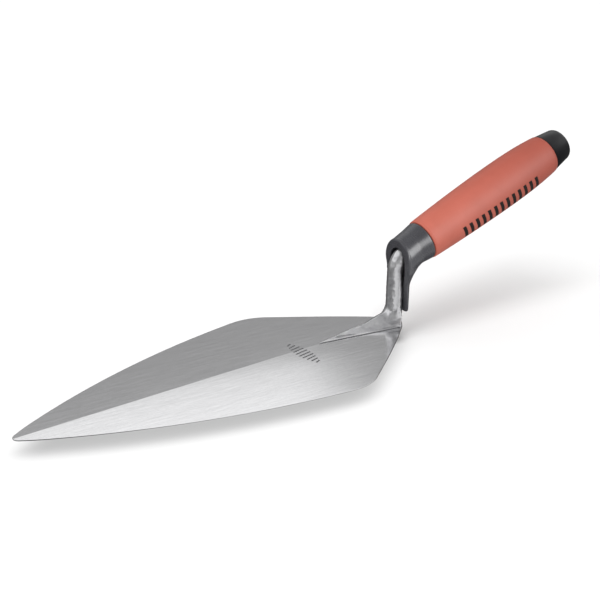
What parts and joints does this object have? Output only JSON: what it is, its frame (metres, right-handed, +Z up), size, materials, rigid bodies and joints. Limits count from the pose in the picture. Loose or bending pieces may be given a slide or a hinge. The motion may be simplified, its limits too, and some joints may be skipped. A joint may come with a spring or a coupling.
{
  "type": "brick trowel",
  "caption": "London-pattern brick trowel: ground steel blade with a rounded heel, cranked steel shank, soft grip, finger guard and end cap.",
  "frame": {"origin": "on the flat underside of the blade, below the foot of the shank", "axes": "+X towards the tip of the blade, +Z up through the shank, +Y completes a right-handed frame; the part is mirror-symmetric about Y = 0"},
  "size_m": [0.417, 0.1366, 0.1042],
  "materials": {
    "blade_steel": "fine ground satin",
    "forged_steel": "forged and polished, with small dents",
    "guard_plastic": "moulded, semi-gloss slate grey",
    "core_plastic": "moulded, hidden inside the grip",
    "grip_rubber": "soft matt terracotta",
    "cap_plastic": "moulded black, satin"
  },
  "bodies": {
    "root": {"blade": "blade_steel", "shank": "forged_steel", "finger_guard": "guard_plastic", "handle_core": "core_plastic", "grip_sleeve": "grip_rubber", "end_cap": "cap_plastic"}
  },
  "joints": []
}
